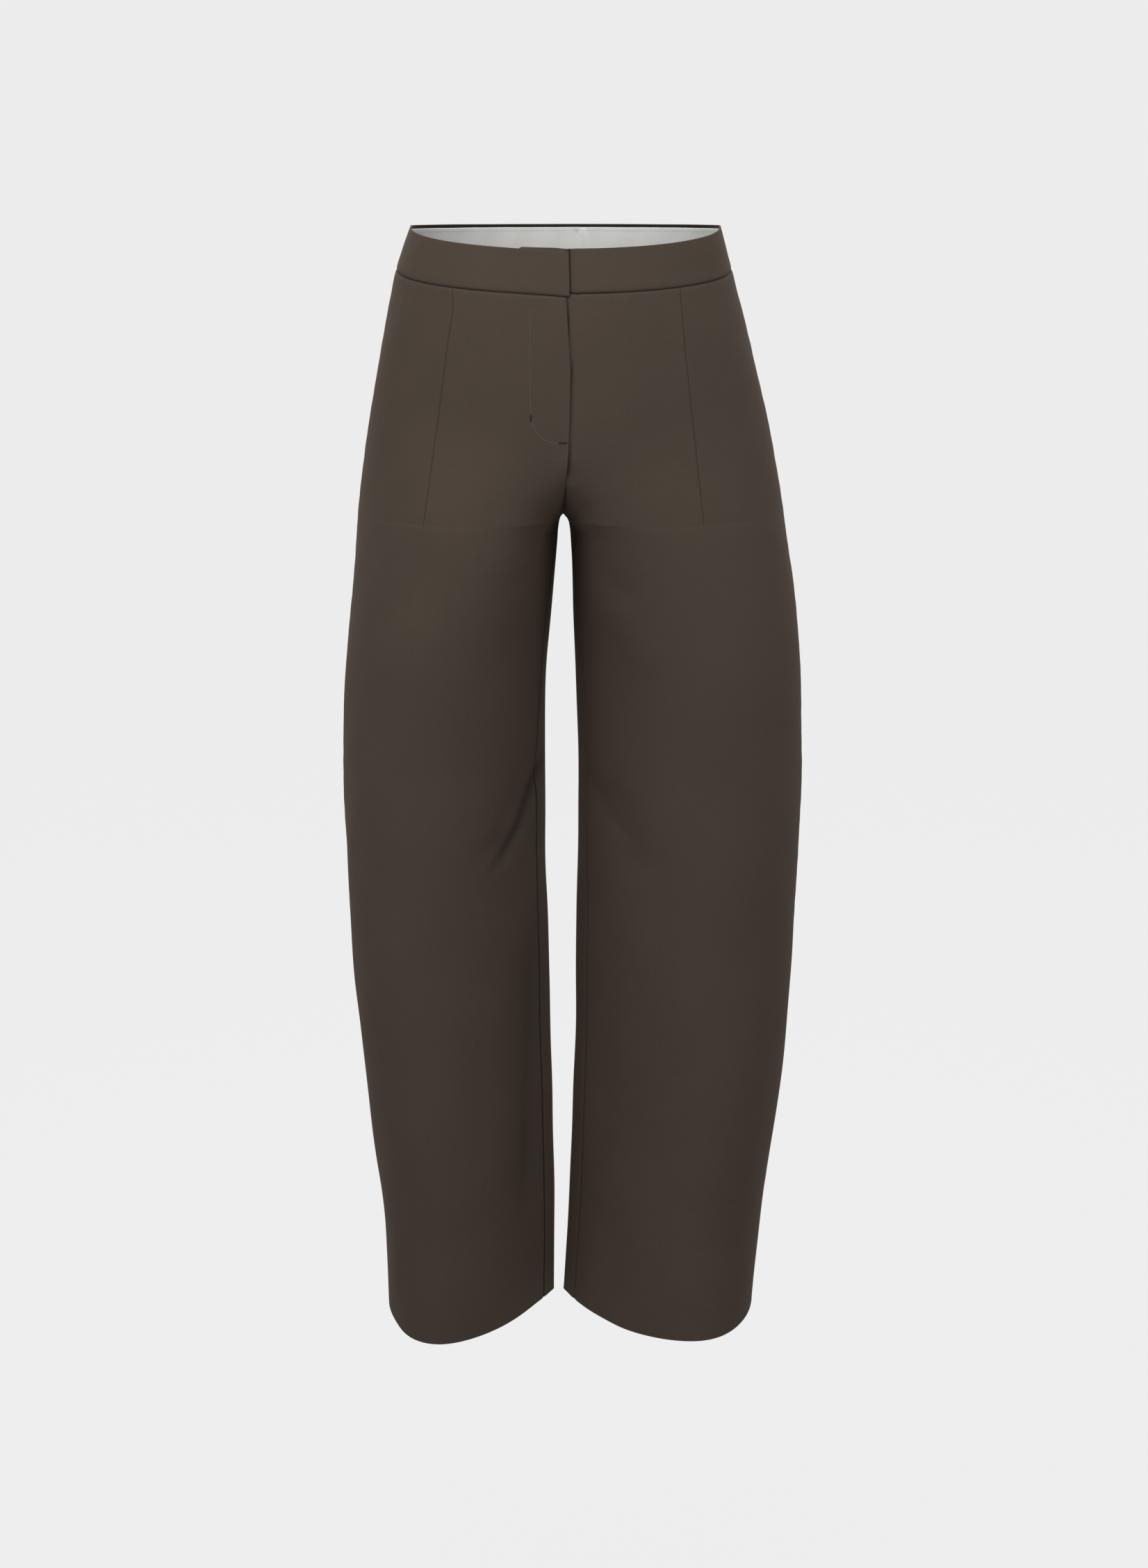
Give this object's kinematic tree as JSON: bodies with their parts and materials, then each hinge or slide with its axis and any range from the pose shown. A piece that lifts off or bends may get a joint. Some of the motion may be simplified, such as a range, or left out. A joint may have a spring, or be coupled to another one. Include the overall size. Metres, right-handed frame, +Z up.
{
  "type": "barrel leg trousers",
  "caption": "Barrel leg trousers in plain suiting, filled out and empty, with a lapped fly, a curved waistband and open hems",
  "frame": {"origin": "middle of the waist opening, level with the top of the wearer's waist, where the body holds the trousers", "axes": "+X to the viewer's right, -Y is the front, +Z is up"},
  "size_m": [0.427, 0.2429, 1.039],
  "materials": {
    "suiting": "matt plain suiting twill",
    "facing_lining": "smooth pale lining cloth",
    "zip_tape": "woven polyester zip tape"
  },
  "bodies": {
    "root": {"front_left": "suiting", "front_right": "suiting", "back_left": "suiting", "back_right": "suiting", "waistband_front_left": "suiting", "waistband_front_right": "suiting", "waistband_back": "suiting", "waistband_facing_back": "facing_lining", "fly_zip": "zip_tape", "fly_shield": "suiting"}
  },
  "joints": []
}
